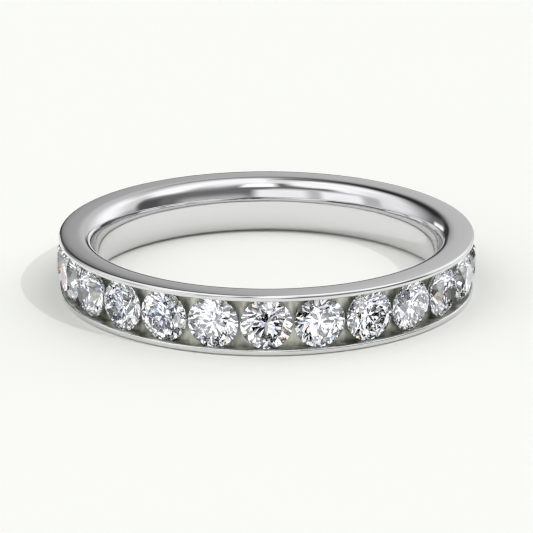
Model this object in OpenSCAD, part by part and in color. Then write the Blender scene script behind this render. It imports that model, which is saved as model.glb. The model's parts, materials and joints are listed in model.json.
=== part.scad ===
// Channel set band: a polished precious-metal ring with a row of round brilliant
// stones held between two rails, all the way round. Units are millimetres.
// The ring lies on its side: +Z runs along the finger, the origin is the ring's
// centre on the surface it rests on, and the first stone faces -Y.

/* [Finger hole] */
// Diameter of the finger hole at its narrowest, a size 7 ring
finger_d = 17.3; // [14:0.1:22]
// Width of the straight land at the middle of the hole
land_w = 0.4; // [0.2:0.05:0.8]
// How far the comfort curve opens the hole, on the radius, at each side face
comfort_drop = 0.74; // [0.6:0.01:1]
// Radius that blends the comfort curve into each side face
comfort_edge_r = 0.42; // [0.3:0.01:0.5]

/* [Stones] */
// Diameter of each stone at its girdle
stone_d = 2.48; // [2:0.01:3]
// Least gap between neighbouring stones
stone_gap = 0.05; // [0.03:0.01:0.3]
// Width of a stone's table, corner to corner, in percent of its diameter
table_pct = 57; // [52:1:64]
// Slope of the crown's main facets
crown_deg = 34.5; // [30:0.5:38]
// Slope of the pavilion's main facets
pavilion_deg = 40.8; // [38:0.1:43]
// Height of the girdle at the facet corners
girdle_h = 0.075; // [0.05:0.005:0.12]
// Reach of the star facets towards the girdle, in percent
star_pct = 50; // [40:1:60]
// Reach of the lower girdle facets towards the culet, in percent
lower_half_pct = 78; // [65:1:85]
// Straight steps of the girdle's outline between two facet corners
girdle_steps = 3; // [1:1:4]

/* [Channel] */
// Thickness of each rail along the finger
rail_t = 0.32; // [0.25:0.01:0.6]
// How far each rail reaches over the girdles
rail_bite = 0.03; // [0.02:0.005:0.08]
// Depth of the channel's floor below the middle of the girdles
floor_drop = 0.28; // [0.2:0.01:0.4]
// Metal left between a seat's point and the finger hole
seat_wall = 0.4; // [0.3:0.01:0.8]
// How far the tables stand out past the rails
table_proud = 0.06; // [0:0.01:0.12]
// Clearance round a stone in its seat
seat_fit = 0.04; // [0.03:0.005:0.06]

/* [Edges] */
// Rounding of the outer edges of the side faces
outer_edge_r = 0.12; // [0.06:0.01:0.2]
// Rounding of each rail's edge along the channel
rail_edge_r = 0.05; // [0.03:0.01:0.08]

/* [Hidden] */
// Facet corners round a stone: eight mains, with a half step between them
MAINS = 8;
HALF = 180 / MAINS;

// One stone, from its diameter
stone_r = stone_d / 2;
table_r = stone_r * table_pct / 100;
crown_h = (stone_r - table_r) * tan(crown_deg);
pavilion_h = stone_r * tan(pavilion_deg);
star_r = table_r * cos(HALF) + (stone_r - table_r * cos(HALF)) * star_pct / 100;
star_z = (stone_r - star_r * cos(HALF)) * tan(crown_deg);
lower_r = stone_r * (1 - lower_half_pct / 100);
lower_z = (stone_r - lower_r * cos(HALF)) * tan(pavilion_deg);

// Radii of the band, from the hole outwards
finger_r = finger_d / 2;
seat_depth = (stone_r + seat_fit) * tan(pavilion_deg);
girdle_mid_r = finger_r + seat_wall + seat_depth + girdle_h / 2;
floor_r = girdle_mid_r - floor_drop;
outer_r = girdle_mid_r + girdle_h / 2 + crown_h - table_proud;
side_inner_r = finger_r + comfort_drop;

// Widths along the finger
channel_w = stone_d - 2 * rail_bite;
band_w = channel_w + 2 * rail_t;
mid_z = band_w / 2;

// Comfort curve: the large arc meets the land and the small arc, both smoothly
curve_w = mid_z - land_w / 2;
comfort_r = (pow(comfort_drop, 2) + pow(curve_w, 2) - 2 * curve_w * comfort_edge_r)
          / (2 * (comfort_drop - comfort_edge_r));
comfort_tilt = atan2(curve_w - comfort_edge_r, comfort_r - comfort_drop);
comfort_end_z = land_w / 2 + comfort_r * sin(comfort_tilt);

// As many stones as fit round the band, evenly spread
stone_count = floor(180 / asin((stone_d + stone_gap) / (2 * girdle_mid_r)));
stone_step = 360 / stone_count;

// Overshoot of each cut past the face it leaves
cut_over = 0.5;
ROUND_FN = 96;

function stone_name(i) = str("stone_", i < 10 ? "0" : "", i);

// A box in the band's section: radius from r0 to r1, height z0 to z1 from the middle
module section_box(r0, r1, z0, z1) {
    translate([r0, z0]) square([r1 - r0, z1 - z0]);
}

// A round of the section's outline, above and below its middle: centre at radius r and
// height z from the middle
module section_rounds(r, z, round_r) {
    for (side = [-1, 1]) translate([r, side * z]) circle(round_r, $fn = ROUND_FN);
}

// Inner part of the section: the land and the large arcs of the comfort curve
module comfort_section() {
    intersection() {
        union() {
            section_box(finger_r, side_inner_r, -land_w / 2, land_w / 2);
            section_rounds(finger_r + comfort_r, land_w / 2, comfort_r);
        }
        section_box(finger_r - cut_over, side_inner_r + comfort_edge_r, -comfort_end_z, comfort_end_z);
    }
    section_rounds(side_inner_r, mid_z - comfort_edge_r, comfort_edge_r);
}

// Outer part of the section: side faces and outer wall, with rounded outer edges
module wall_section() {
    section_box(side_inner_r, outer_r - outer_edge_r, -mid_z, mid_z);
    section_box(side_inner_r, outer_r, outer_edge_r - mid_z, mid_z - outer_edge_r);
    section_rounds(outer_r - outer_edge_r, mid_z - outer_edge_r, outer_edge_r);
}

// The channel between the rails, widened at its mouth to leave the rails' round edges
module channel_section() {
    mouth_z = channel_w / 2 + rail_edge_r;
    section_box(floor_r, outer_r + cut_over, -channel_w / 2, channel_w / 2);
    difference() {
        section_box(outer_r - rail_edge_r, outer_r + cut_over, -mouth_z, mouth_z);
        section_rounds(outer_r - rail_edge_r, mouth_z, rail_edge_r);
    }
}

// Moves a shape to stone i: +Z becomes the outward direction, the girdle's middle the origin
module at_stone(i) {
    rotate([0, 0, (i - 1) * stone_step])
        translate([0, -girdle_mid_r, mid_z])
            rotate([90, 0, 0])
                children();
}

// Space cut for one stone: a cone for the pavilion, a groove for the girdle, a cone for the crown
module seat_cut() {
    cut_r = stone_r + seat_fit;
    groove_top = girdle_h / 2 + seat_fit;
    rotate_extrude($fn = ROUND_FN) polygon([
        [0, -girdle_h / 2 - seat_depth],
        [cut_r, -girdle_h / 2],
        [cut_r, groove_top],
        [0, groove_top + cut_r * tan(crown_deg)]
    ]);
}

// Points of a stone at one angle and radius
function polar(r, angle, z) = [r * cos(angle), r * sin(angle), z];

// Height over the girdle's corner height at a point of the girdle's arc, on the plane that
// holds two girdle corners (0 and HALF degrees) and an inner corner at HALF degrees
function arc_drop(inner_r, inner_z, angle) =
    let (
        corner = polar(stone_r, 0, 0),
        middle = polar(stone_r, HALF, 0),
        inner = polar(inner_r, HALF, inner_z),
        normal = cross(middle - corner, inner - corner),
        point = polar(stone_r, angle, 0)
    )
    -((point - corner) * normal) / normal.z;

// A round brilliant: a table, 8 stars, 8 mains and 16 halves above the girdle, 16 halves and
// 8 mains below it
module brilliant() {
    arc_n = 2 * girdle_steps;
    ring_n = MAINS * arc_n;
    arc_angle = 360 / ring_n;
    // Angle of girdle point j from the nearest main facet's middle, always 0 to HALF
    function folded(j) = let (a = (j % arc_n) * arc_angle) a > HALF ? 2 * HALF - a : a;
    points = concat(
        [for (k = [0 : MAINS - 1]) polar(table_r, 2 * k * HALF, girdle_h / 2 + crown_h)],
        [for (k = [0 : MAINS - 1]) polar(star_r, (2 * k + 1) * HALF, girdle_h / 2 + star_z)],
        [for (j = [0 : ring_n - 1])
            polar(stone_r, j * arc_angle, girdle_h / 2 + arc_drop(star_r, star_z, folded(j)))],
        [for (j = [0 : ring_n - 1])
            polar(stone_r, j * arc_angle, -girdle_h / 2 - arc_drop(lower_r, lower_z, folded(j)))],
        [for (k = [0 : MAINS - 1]) polar(lower_r, (2 * k + 1) * HALF, -girdle_h / 2 - lower_z)],
        [[0, 0, -girdle_h / 2 - pavilion_h]]
    );
    table0 = 0;
    star0 = table0 + MAINS;
    top0 = star0 + MAINS;
    low0 = top0 + ring_n;
    inner0 = low0 + ring_n;
    culet = inner0 + MAINS;
    function top(j) = top0 + (j + ring_n) % ring_n;
    function low(j) = low0 + (j + ring_n) % ring_n;
    function next(k) = (k + 1) % MAINS;
    function prior(k) = (k + MAINS - 1) % MAINS;
    faces = concat(
        [[for (k = [MAINS - 1 : -1 : 0]) table0 + k]],
        [for (k = [0 : MAINS - 1]) [table0 + k, table0 + next(k), star0 + k]],
        [for (k = [0 : MAINS - 1]) [table0 + k, star0 + k, top(k * arc_n)]],
        [for (k = [0 : MAINS - 1]) [table0 + k, top(k * arc_n), star0 + prior(k)]],
        [for (k = [0 : MAINS - 1]) for (j = [0 : arc_n - 1])
            [star0 + k, top(k * arc_n + j + 1), top(k * arc_n + j)]],
        [for (j = [0 : ring_n - 1]) [top(j), top(j + 1), low(j)]],
        [for (j = [0 : ring_n - 1]) [top(j + 1), low(j + 1), low(j)]],
        [for (k = [0 : MAINS - 1]) for (j = [0 : arc_n - 1])
            [inner0 + k, low(k * arc_n + j), low(k * arc_n + j + 1)]],
        [for (k = [0 : MAINS - 1]) [culet, low(k * arc_n), inner0 + k]],
        [for (k = [0 : MAINS - 1]) [culet, inner0 + prior(k), low(k * arc_n)]]
    );
    polyhedron(points, faces, convexity = 2);
}

// The metal of the ring, one casting: shank, both rails, channel floor and seats
module band() {
    color("gainsboro") difference() {
        translate([0, 0, mid_z]) rotate_extrude($fn = ROUND_FN) difference() {
            union() {
                comfort_section();
                wall_section();
            }
            channel_section();
        }
        for (i = [1 : stone_count]) at_stone(i) seat_cut();
    }
}

// One cut stone in its seat, with a main facet of its crown towards each rail
module stone(i) {
    color("aliceblue") at_stone(i) rotate([0, 0, 90]) brilliant();
}

band();
for (i = [1 : stone_count])
    stone(i);
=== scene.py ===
import json
import math

import bpy
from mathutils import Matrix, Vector


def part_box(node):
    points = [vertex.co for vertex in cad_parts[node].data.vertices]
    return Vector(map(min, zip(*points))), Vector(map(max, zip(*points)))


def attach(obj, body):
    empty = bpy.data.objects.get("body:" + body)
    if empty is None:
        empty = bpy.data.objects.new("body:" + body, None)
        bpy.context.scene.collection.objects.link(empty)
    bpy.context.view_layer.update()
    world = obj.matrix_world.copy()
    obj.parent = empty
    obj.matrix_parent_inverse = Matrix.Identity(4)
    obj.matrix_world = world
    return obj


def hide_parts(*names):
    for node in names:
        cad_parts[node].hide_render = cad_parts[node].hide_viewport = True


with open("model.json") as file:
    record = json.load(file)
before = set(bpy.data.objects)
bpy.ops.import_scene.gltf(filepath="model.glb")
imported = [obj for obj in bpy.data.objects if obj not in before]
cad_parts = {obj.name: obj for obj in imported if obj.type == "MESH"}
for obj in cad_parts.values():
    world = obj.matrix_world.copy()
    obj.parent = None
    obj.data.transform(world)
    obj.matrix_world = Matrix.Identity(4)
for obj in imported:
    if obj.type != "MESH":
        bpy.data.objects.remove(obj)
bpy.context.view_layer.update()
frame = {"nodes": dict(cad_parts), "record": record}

MM = 0.001

# Main sizes of the band and of its stones, from the frame
band_low, band_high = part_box("band")
band_w = band_high.z - band_low.z
mid_z = band_w / 2
outer_r = band_high.x
mounts = {mount["name"]: mount for mount in frame["record"]["mounts"]}
finger_r = mounts["finger_hole"]["dims"]["r_mm"] * MM
stone_names = sorted(name for name in frame["nodes"] if name.startswith("stone_"))
_, stone_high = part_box(stone_names[0])
stone_r = stone_high.x

# The band's section and seats
COMFORT_DROP = 0.74 * MM
CREST_IN = 0.58 * MM
CROWN_DROP = 0.02 * MM
RAIL_BITE = 0.03 * MM
FLOOR_DROP = 0.28 * MM
SEAT_WALL = 0.4 * MM
SEAT_FIT = 0.04 * MM
OUTER_EDGE_R = 0.17 * MM
RAIL_EDGE_R = 0.08 * MM
GIRDLE_H = 0.075 * MM
PAVILION_DEG = 40.8
CROWN_DEG = 34.5

# Steps round the band, of its section's curves and round a seat, and where its edges stay sharp
BAND_STEPS = 600
COMFORT_STEPS = 40
CROWN_STEPS = 8
OUTER_EDGE_STEPS = 12
RAIL_EDGE_STEPS = 6
SEAT_STEPS = 96
SHARP_DEG = 30

seat_r = stone_r + SEAT_FIT
seat_depth = seat_r * math.tan(math.radians(PAVILION_DEG))
girdle_r = finger_r + SEAT_WALL + seat_depth + GIRDLE_H / 2
floor_r = girdle_r - FLOOR_DROP
side_inner_r = finger_r + COMFORT_DROP
channel_half = stone_r - RAIL_BITE
crest_r = outer_r - CREST_IN

# Polished metal: its colour, and polishing marks and faint waves along the ring. Both are noise
# with this scale per metre round the ring and across the band, where a step outwards counts
# STREAK_LEAN times as much as a step up.
METAL_COLOR = (0.77, 0.767, 0.78, 1)
NOISE_DETAIL = 3.0
STREAK_LEAN = 1.7
POLISH_AROUND = 400.0
POLISH_ACROSS = 9000.0
POLISH_ROUGH = 0.01
POLISH_ROUGH_SPREAD = 0.035
WAVE_AROUND = 250.0
WAVE_ACROSS = 900.0
WAVE_HEIGHT = 0.006 * MM

# Metal inside the channel: its colours, darker and greener than the polished metal as painted
# shade and painted reflections of the recess, and its grain as noise with this scale per metre
# Both tones are painted shade of the recess; the grain's mottle blends between them
CHANNEL_SHADED_COLOR = (0.72, 0.73, 0.67, 1)
CHANNEL_SHADED_DARK = (0.34, 0.35, 0.3, 1)
GRAIN_AROUND = 2500.0
GRAIN_ALONG = 900.0
GRAIN_HEIGHT = 0.01 * MM
GRAIN_ROUGH = 0.3
GRAIN_ROUGH_SPREAD = 0.25
GRAIN_LOW = 0.38
GRAIN_HIGH = 0.62

# A face belongs to the channel from this share of the seats' wall, and up to this share of the
# channel's half width where the comfort curve lies behind it
CHANNEL_INNER = 0.9
CHANNEL_WIDE = 1.05

STONE_IOR = 2.42
WHITE = (1, 1, 1, 1)

# Camera
CAMERA_PLACE = Vector((0, -130.87, 44.43)) * MM
CAMERA_AIM = Vector((0, 0, 1.03)) * MM
CAMERA_LENS = 182.7
SENSOR_W = 36
CLIP_NEAR = 0.01
CLIP_FAR = 10

# Light paths: bounces in all, through stones and off metal, the most light in a bounced sample,
# and the width of a pixel's filter
BOUNCES = 32
STONE_BOUNCES = 24
METAL_BOUNCES = 16
SAMPLE_LIMIT = 12
PIXEL_FILTER_W = 1.3

# Studio: floor, key light, and the brightness of the surroundings and how uneven it is
FLOOR_R = 4
FLOOR_STEPS = 64
FLOOR_COLOR = (0.965, 0.973, 0.930, 1)
KEY_ANGLE = 0.6
KEY_STRENGTH = 0.5
KEY_AZIMUTH = 122
KEY_ELEVATION = 50
SKY_BASE = 0.17
STUDIO_STRENGTH = 1.016
FLOOR_BOOST = 1.09
UNEVEN_SCALE = 5.0
UNEVEN_SHARE = 0.2
UNEVEN_DETAIL = 2.0

# Surroundings seen through the stones: patches with a tone and a tint of their own. Each tone or
# tint starts at this value of the patch's random number. PATCH_SIDE adds to the tone's number
# towards the left and right.
PATCH_SCALE = 7.0
PATCH_STRENGTH = 1.5
PATCH_SHIFT = (-1.8, 3.3, 2.1)
PATCH_SIDE = 0.36
PATCH_TONES = [
    (0, (0.0, 0.0, 0.0, 1)),
    (0.48, (0.1, 0.105, 0.13, 1)),
    (0.56, (0.38, 0.39, 0.43, 1)),
    (0.66, (0.68, 0.69, 0.73, 1)),
    (0.78, (0.96, 0.97, 1, 1)),
]
PATCH_TINTS = [
    (0, WHITE),
    (0.78, (0.86, 0.9, 1, 1)),
    (0.89, (0.58, 0.68, 1, 1)),
    (0.92, (1, 0.84, 0.66, 1)),
    (0.94, (1, 0.95, 0.84, 1)),
    (0.965, (1, 0.87, 0.85, 1)),
    (0.98, (0.82, 0.97, 0.94, 1)),
]

# Panels of the studio: azimuth and elevation of the middle, half width, half height and soft
# edges, in degrees (azimuth 0 is behind the ring, 90 to its right), and brightness
PANELS = [
    ("back_base", 60, 50, 40, 16, 60, 20, 0.6),
    ("right_soft", 120, 66, 34, 22, 30, 40, 0.9),
    ("left_wide", -82, 62, 37, 21, 50, 16, 1.02),
    ("left_box_mid", -130, 48, 22, 9, 16, 8, 1.0),
    ("left_box", -112, 62, 48, 18, 16, 14, 1.22),
    ("left_box_low", -97, 42, 29, 13, 20, 12, 1.3),
    ("cap", 0, 90, 200, 11, 1, 8, 0.85),
    ("cap_front", -172, 90, 22, 28, 16, 14, 0.95),
    ("zenith", 90, 90, 94, 32, 24, 36, 1.2),
    ("left_gray", -135, 14, 42, 16, 16, 8, 0.62),
    ("back_left", -82, 24, 26, 26, 44, 24, 0.97),
    ("seam", -103, 8, 7, 18, 8, 12, 0.55),
    ("left_low", -127, 12, 15, 13, 6, 8, 1.1),
    ("front_low", -170, 12, 18, 13, 10, 8, 1.08),
    ("front_blob", 174, 49, 13, 11, 10, 8, 1.45),
    ("right_box", 86, 56, 29, 20, 24, 14, 1.26),
    ("right_mid", 143, 12, 20, 13, 12, 8, 0.19),
    ("right_low", 143, 0, 24, 9, 14, 18, 0.62),
    ("back_low", 17, 14, 22, 26, 24, 14, 0.61),
    ("back_right", 46, 20, 36, 25, 10, 14, 0.62),
    ("back_right_bright", 50, 22, 20, 22, 40, 14, 1.2),
    ("right_foot", 80, 0, 13, 8, 20, 12, 0.45),
    ("right_dark", 93, 8, 10, 16, 8, 12, 0.1),
    ("flag", -21, 38, 14, 17, 20, 12, 0.03),
    ("back_dark", -13.5, 10, 5, 11, 5, 8, 0.04),
    ("back_strip", -29, 1, 8, 9, 5, 8, 1.3),
    ("back_foot", 0, 1, 10, 7, 8, 6, 0.05),
    ("horizon", 0, 0, 200, 3.0, 1, 3.0, 0.04),
]


def arc(centre_r, centre_z, size, start_deg, end_deg, steps):
    """Points (radius, height) of a round arc in the band's section, both ends included."""
    step_deg = (end_deg - start_deg) / steps
    angles = [math.radians(start_deg + step_deg * i) for i in range(steps + 1)]
    return [(centre_r + size * math.cos(a), centre_z + size * math.sin(a)) for a in angles]


def comfort_curve():
    """From the middle of the hole to the side face's crest, with the finest steps at both ends."""
    points = []
    for i in range(COMFORT_STEPS + 1):
        angle = math.pi / 4 * (1 - math.cos(math.pi * i / COMFORT_STEPS))
        across = math.sqrt(max(math.cos(angle), 0))
        points.append((crest_r - (crest_r - finger_r) * across, mid_z * math.sin(angle)))
    return points


def outer_curve():
    """From the side face's crest down its faint crown and round the outer edge."""
    wall_r = outer_r - OUTER_EDGE_R
    tilt = math.atan(2 * CROWN_DROP / (wall_r - crest_r))
    end_r = wall_r + OUTER_EDGE_R * math.sin(tilt)
    points = []
    for i in range(1, CROWN_STEPS):
        share = i / CROWN_STEPS
        points.append((crest_r + (end_r - crest_r) * share, mid_z - CROWN_DROP * share ** 2))
    edge_z = mid_z - CROWN_DROP - OUTER_EDGE_R * math.cos(tilt)
    start_deg = 90 - math.degrees(tilt)
    return points + arc(wall_r, edge_z, OUTER_EDGE_R, start_deg, 0, OUTER_EDGE_STEPS)


def upper_outline():
    """The upper half of the band's section, from the middle of the hole to the channel's floor."""
    points = comfort_curve() + outer_curve()
    centre_r, centre_z = outer_r - RAIL_EDGE_R, channel_half + RAIL_EDGE_R
    points += arc(centre_r, centre_z, RAIL_EDGE_R, 0, -90, RAIL_EDGE_STEPS)
    points += [(floor_r, channel_half)]
    return points


def band_outline():
    """The whole closed section of the band, as (radius, height) points."""
    upper = upper_outline()
    lower = [(r, -z) for r, z in reversed(upper)][:-1]
    return [(r, z + mid_z) for r, z in upper + lower]


def new_object(name, points, faces):
    """A linked mesh object of these points and faces."""
    mesh = bpy.data.meshes.new(name)
    mesh.from_pydata(points, [], faces)
    mesh.update()
    piece = bpy.data.objects.new(name, mesh)
    bpy.context.scene.collection.objects.link(piece)
    return piece


def turned(name, outline, steps):
    """A solid ring: a closed outline turned round +Z."""
    points = []
    for i in range(steps):
        angle = 2 * math.pi * i / steps
        points += [(r * math.sin(angle), -r * math.cos(angle), z) for r, z in outline]
    n = len(outline)
    faces = []
    for i in range(steps):
        here, there = i * n, (i + 1) % steps * n
        faces += [(here + j, here + (j + 1) % n, there + (j + 1) % n, there + j) for j in range(n)]
    return new_object(name, points, faces)


def seat_cutter(index):
    """The space cut for one stone: a pavilion cone, a groove for the girdle and a cone above."""
    outline = [(seat_r, -GIRDLE_H / 2), (seat_r, GIRDLE_H / 2 + SEAT_FIT)]
    top = GIRDLE_H / 2 + SEAT_FIT + seat_r * math.tan(math.radians(CROWN_DEG))
    bottom = -GIRDLE_H / 2 - seat_depth
    turn = 2 * math.pi * index / len(stone_names)
    out = Vector((math.sin(turn), -math.cos(turn), 0))
    side = Vector((math.cos(turn), math.sin(turn), 0))
    centre = out * girdle_r + Vector((0, 0, mid_z))
    points = []
    for i in range(SEAT_STEPS):
        angle = 2 * math.pi * i / SEAT_STEPS
        around = side * math.cos(angle) + Vector((0, 0, math.sin(angle)))
        points += [centre + around * r + out * height for r, height in outline]
    points += [centre + out * bottom, centre + out * top]
    low, high = len(points) - 2, len(points) - 1
    faces = []
    for i in range(SEAT_STEPS):
        a, b = 2 * i, 2 * ((i + 1) % SEAT_STEPS)
        faces += [(a, b, b + 1, a + 1), (low, b, a), (high, a + 1, b + 1)]
    return new_object(f"seat_{index}", points, faces)


def cut_seats(piece):
    """Cuts the stones' seats into the piece and drops the cutters."""
    cutters = [seat_cutter(index) for index in range(len(stone_names))]
    group = bpy.data.collections.new("seats")
    for cutter in cutters:
        group.objects.link(cutter)
    cut = piece.modifiers.new("seats", "BOOLEAN")
    cut.operation = "DIFFERENCE"
    cut.operand_type = "COLLECTION"
    cut.collection = group
    cut.solver = "MANIFOLD"
    graph = bpy.context.evaluated_depsgraph_get()
    piece.data = bpy.data.meshes.new_from_object(piece.evaluated_get(graph))
    piece.modifiers.clear()
    for cutter in cutters:
        bpy.data.objects.remove(cutter)
    bpy.data.collections.remove(group)


def smooth(piece, sharp_deg):
    """Smooth shading, broken at edges sharper than this angle."""
    piece.data.polygons.foreach_set("use_smooth", [True] * len(piece.data.polygons))
    piece.data.set_sharp_from_angle(angle=math.radians(sharp_deg))
    weights = piece.modifiers.new("weights", "WEIGHTED_NORMAL")
    weights.keep_sharp = True


class Graph:
    """Adds nodes to a node tree and links them."""

    def __init__(self, tree):
        self.tree = tree
        tree.nodes.clear()

    def add(self, kind, inputs=None, **settings):
        """A new node. Settings are properties; inputs give numbers or sockets by name or index."""
        node = self.tree.nodes.new(kind)
        for key, value in settings.items():
            setattr(node, key, value)
        for key, value in (inputs or {}).items():
            if isinstance(value, bpy.types.NodeSocket):
                self.tree.links.new(value, node.inputs[key])
            else:
                node.inputs[key].default_value = value
        return node

    def math(self, operation, *values):
        """The result of one math operation on numbers or sockets."""
        return self.add("ShaderNodeMath", dict(enumerate(values)), operation=operation).outputs[0]

    def noise(self, vector, scale, detail):
        """Smooth random values between 0 and 1."""
        inputs = {"Vector": vector, "Scale": scale, "Detail": detail}
        return self.add("ShaderNodeTexNoise", inputs).outputs[0]

    def fade(self, value, full, gone):
        """1 where the value is under full, 0 where it is over gone, smooth between them."""
        inputs = {"Value": value, "From Min": full, "From Max": gone, "To Min": 1.0, "To Max": 0.0}
        node = self.add("ShaderNodeMapRange", inputs, interpolation_type="SMOOTHSTEP", clamp=True)
        return node.outputs["Result"]

    def blend(self, share, color, other, blend_type="MIX"):
        """The first colour, going over to the other one by this share."""
        inputs = {0: share, 6: color, 7: other}
        settings = {"data_type": "RGBA", "blend_type": blend_type}
        return self.add("ShaderNodeMix", inputs, **settings).outputs[2]

    def mix(self, share, shader, other):
        """The first shader, going over to the other one by this share."""
        return self.add("ShaderNodeMixShader", {0: share, 1: shader, 2: other}).outputs[0]

    def background(self, color, strength):
        """A background shader."""
        return self.add("ShaderNodeBackground", {"Color": color, "Strength": strength}).outputs[0]

    def metal(self, color, rough, height, depth):
        """Ends the tree in a metal with this roughness and a bump of this height and depth."""
        bump = self.add("ShaderNodeBump", {"Height": height, "Distance": depth}).outputs[0]
        shader = self.add("ShaderNodeBsdfPrincipled", {
            "Base Color": color, "Metallic": 1.0, "Roughness": rough, "Normal": bump})
        self.add("ShaderNodeOutputMaterial", {"Surface": shader.outputs[0]})

    def ramp(self, value, stops):
        """The colour of the last (position, colour) stop that the value has passed."""
        node = self.add("ShaderNodeValToRGB", {0: value})
        node.color_ramp.interpolation = "CONSTANT"
        elements = node.color_ramp.elements
        elements.remove(elements[1])
        for position, color in stops[1:]:
            elements.new(position).color = color
        elements[0].position, elements[0].color = stops[0]
        return node.outputs["Color"]


def new_material(name):
    """A material with an empty node tree, and the Graph that fills it."""
    material = bpy.data.materials.new(name)
    material.use_nodes = True
    return material, Graph(material.node_tree)


def streaks(graph, around, across):
    """Noise drawn out along the ring: its scale per metre round the ring and across the band."""
    place = graph.add("ShaderNodeTexCoord").outputs["Object"]
    x, y, z = graph.add("ShaderNodeSeparateXYZ", {0: place}).outputs
    squares = graph.math("ADD", graph.math("MULTIPLY", x, x), graph.math("MULTIPLY", y, y))
    reach = graph.math("SQRT", squares)
    depth = graph.math("MULTIPLY", graph.math("MULTIPLY_ADD", reach, STREAK_LEAN, z), across)
    along_x, along_y = graph.math("MULTIPLY", x, around), graph.math("MULTIPLY", y, around)
    vector = graph.add("ShaderNodeCombineXYZ", {0: along_x, 1: along_y, 2: depth}).outputs[0]
    return graph.noise(vector, 1.0, NOISE_DETAIL)


def metal_material():
    """Polished white metal with faint marks of polishing round the ring."""
    material, graph = new_material("polished_metal")
    marks = streaks(graph, POLISH_AROUND, POLISH_ACROSS)
    rough = graph.math("MULTIPLY_ADD", marks, POLISH_ROUGH_SPREAD, POLISH_ROUGH)
    graph.metal(METAL_COLOR, rough, streaks(graph, WAVE_AROUND, WAVE_ACROSS), WAVE_HEIGHT)
    return material


def shaded_channel_material():
    """The same metal inside the channel, with an uneven grainy surface; its darker, greener tones
    are painted shade and painted reflections of the recess.
    """
    material, graph = new_material("channel_metal_painted_shade")
    place = graph.add("ShaderNodeTexCoord").outputs["Object"]
    spread = graph.add("ShaderNodeVectorMath", {
        0: place, 1: (GRAIN_AROUND, GRAIN_AROUND, GRAIN_ALONG)}, operation="MULTIPLY").outputs[0]
    grain = graph.noise(spread, 1.0, NOISE_DETAIL)
    rough = graph.math("MULTIPLY_ADD", grain, GRAIN_ROUGH_SPREAD, GRAIN_ROUGH)
    share = graph.fade(grain, GRAIN_LOW, GRAIN_HIGH)
    # The grain blends the channel's two painted-shade tones
    graph.metal(graph.blend(share, CHANNEL_SHADED_COLOR, CHANNEL_SHADED_DARK), rough, grain, GRAIN_HEIGHT)
    return material


def stone_material():
    """Clear colourless stone."""
    material, graph = new_material("clear_stone")
    shader = graph.add("ShaderNodeBsdfPrincipled", {
        "Base Color": WHITE, "Roughness": 0.0, "IOR": STONE_IOR, "Transmission Weight": 1.0})
    graph.add("ShaderNodeOutputMaterial", {"Surface": shader.outputs[0]})
    return material


def stone_ray(graph):
    """1 for a ray that comes straight from a stone's facet, 0 for all others."""
    path = graph.add("ShaderNodeLightPath").outputs
    unseen = graph.math("SUBTRACT", 1.0, path["Is Camera Ray"])
    return graph.math("MULTIPLY", path["Is Singular Ray"], unseen)


def floor_material():
    """Matt pale floor, clear for the rays from the stones."""
    material, graph = new_material("floor")
    matt = graph.add("ShaderNodeBsdfDiffuse", {"Color": FLOOR_COLOR}).outputs[0]
    clear = graph.add("ShaderNodeBsdfTransparent").outputs[0]
    mixed = graph.mix(stone_ray(graph), matt, clear)
    graph.add("ShaderNodeOutputMaterial", {"Surface": mixed})
    return material


def is_channel(middle):
    """True where a face with this middle belongs to the channel's floor or to a seat."""
    reach = math.hypot(middle.x, middle.y)
    across = abs(middle.z - mid_z)
    in_wall = finger_r + SEAT_WALL * CHANNEL_INNER < reach < outer_r - RAIL_EDGE_R
    on_comfort_curve = reach < side_inner_r and across > channel_half * CHANNEL_WIDE
    return across < seat_r and in_wall and not on_comfort_curve


def make_band():
    """The band: turned, cut, given its two metals, and put in the place of the CAD solid."""
    band = turned("polished_band", band_outline(), BAND_STEPS)
    cut_seats(band)
    smooth(band, SHARP_DEG)
    band.data.materials.clear()
    band.data.materials.append(metal_material())
    band.data.materials.append(shaded_channel_material())
    # Channel faces get the metal whose darker tones are painted shade of the recess
    for face in band.data.polygons:
        if is_channel(face.center):
            face.material_index = 1
    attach(band, "root")
    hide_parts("band")


def dress_stones():
    """Gives every stone of the frame the clear material."""
    material = stone_material()
    for name in stone_names:
        frame["nodes"][name].material_slots[0].material = material


def make_floor():
    """A round plain floor under the ring."""
    angles = [2 * math.pi * i / FLOOR_STEPS for i in range(FLOOR_STEPS)]
    points = [(FLOOR_R * math.cos(angle), FLOOR_R * math.sin(angle), 0) for angle in angles]
    floor = new_object("floor", points, [tuple(range(FLOOR_STEPS))])
    floor.data.materials.append(floor_material())


def make_key():
    """The light that throws the ring's shadow; it has no reflection of its own."""
    light = bpy.data.lights.new("key", "SUN")
    light.energy = KEY_STRENGTH
    light.angle = math.radians(KEY_ANGLE)
    key = bpy.data.objects.new("key", light)
    azimuth, elevation = math.radians(KEY_AZIMUTH), math.radians(KEY_ELEVATION)
    flat = math.cos(elevation)
    towards = Vector((math.sin(azimuth) * flat, math.cos(azimuth) * flat, math.sin(elevation)))
    key.rotation_euler = towards.to_track_quat("Z", "Y").to_euler()
    key.visible_glossy = False
    bpy.context.scene.collection.objects.link(key)


def panel_mask(graph, azimuth, elevation, panel):
    """1 inside a panel, 0 outside it, soft between them."""
    az, el, half_w, half_h, soft_w, soft_h = panel[1:-1]
    turn = graph.math("WRAP", graph.math("SUBTRACT", azimuth, float(az)), 180.0, -180.0)
    off_w = graph.math("ABSOLUTE", turn)
    off_h = graph.math("ABSOLUTE", graph.math("SUBTRACT", elevation, float(el)))
    mask_w = graph.fade(off_w, half_w - soft_w / 2, half_w + soft_w / 2)
    mask_h = graph.fade(off_h, half_h - soft_h / 2, half_h + soft_h / 2)
    return graph.math("MULTIPLY", mask_w, mask_h)


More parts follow.
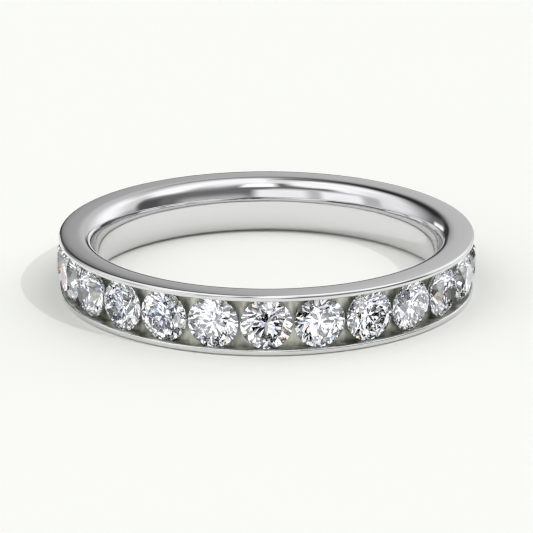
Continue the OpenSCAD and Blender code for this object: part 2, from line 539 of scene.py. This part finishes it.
def studio_level(graph, direction, path):
    """The brightness of the studio's panels in a direction, with a boost for the floor's light."""
    x, y, z = graph.add("ShaderNodeSeparateXYZ", {0: direction}).outputs
    azimuth = graph.math("DEGREES", graph.math("ARCTAN2", x, y))
    elevation = graph.math("DEGREES", graph.math("ARCSINE", z))
    level = SKY_BASE
    for panel in PANELS:
        mask = panel_mask(graph, azimuth, elevation, panel)
        inputs = {0: mask, 2: level, 3: panel[-1]}
        level = graph.add("ShaderNodeMix", inputs, data_type="FLOAT", label=panel[0]).outputs[0]
    noise = graph.noise(direction, UNEVEN_SCALE, UNEVEN_DETAIL)
    uneven = graph.math("MULTIPLY_ADD", noise, UNEVEN_SHARE, 1 - UNEVEN_SHARE / 2)
    level = graph.math("MULTIPLY", level, graph.math("MULTIPLY", uneven, STUDIO_STRENGTH))
    boost = graph.math("MULTIPLY_ADD", path["Is Diffuse Ray"], FLOOR_BOOST - 1, 1.0)
    return graph.math("MULTIPLY", level, boost)


def patch_color(graph, direction):
    """The colour of the patch that lies in a direction: its tone times its tint."""
    x = graph.add("ShaderNodeSeparateXYZ", {0: direction}).outputs[0]
    shifted = {0: direction, 1: PATCH_SHIFT}
    place = graph.add("ShaderNodeVectorMath", shifted, operation="ADD").outputs[0]
    cells = graph.add("ShaderNodeTexVoronoi", {
        "Vector": place, "Scale": PATCH_SCALE, "Randomness": 1.0}).outputs["Color"]
    random = graph.add("ShaderNodeSeparateColor", {0: cells}).outputs
    side = graph.math("MULTIPLY_ADD", graph.math("ABSOLUTE", x), PATCH_SIDE, random[0])
    tone, tint = graph.ramp(side, PATCH_TONES), graph.ramp(random[1], PATCH_TINTS)
    return graph.blend(1.0, tone, tint, "MULTIPLY")


def make_sky():
    """The world: panels for the metal and the floor, patches for the stones, plain behind all."""
    world = bpy.data.worlds.new("studio")
    bpy.context.scene.world = world
    world.use_nodes = True
    graph = Graph(world.node_tree)
    direction = graph.add("ShaderNodeTexCoord").outputs["Generated"]
    path = graph.add("ShaderNodeLightPath").outputs
    panels = graph.background(WHITE, studio_level(graph, direction, path))
    patches = graph.background(patch_color(graph, direction), PATCH_STRENGTH)
    plain = graph.background(FLOOR_COLOR, 1.0)
    mixed = graph.mix(stone_ray(graph), panels, patches)
    mixed = graph.mix(path["Is Camera Ray"], mixed, plain)
    graph.add("ShaderNodeOutputWorld", {"Surface": mixed})


def make_camera():
    """The camera at the photograph's angle."""
    data = bpy.data.cameras.new("camera")
    data.lens = CAMERA_LENS
    data.sensor_width = SENSOR_W
    data.clip_start = CLIP_NEAR
    data.clip_end = CLIP_FAR
    camera = bpy.data.objects.new("camera", data)
    camera.location = CAMERA_PLACE
    camera.rotation_euler = (CAMERA_PLACE - CAMERA_AIM).to_track_quat("Z", "Y").to_euler()
    bpy.context.scene.collection.objects.link(camera)
    bpy.context.scene.camera = camera


def set_light_paths():
    """Enough bounces for the stones, a limit to sparks, a crisp picture and plain colours."""
    cycles = bpy.context.scene.cycles
    cycles.max_bounces = BOUNCES
    cycles.transmission_bounces = STONE_BOUNCES
    cycles.glossy_bounces = METAL_BOUNCES
    cycles.sample_clamp_indirect = SAMPLE_LIMIT
    cycles.filter_width = PIXEL_FILTER_W
    bpy.context.scene.view_settings.view_transform = "Standard"


make_camera()
make_floor()
make_key()
make_sky()
make_band()
dress_stones()
set_light_paths()
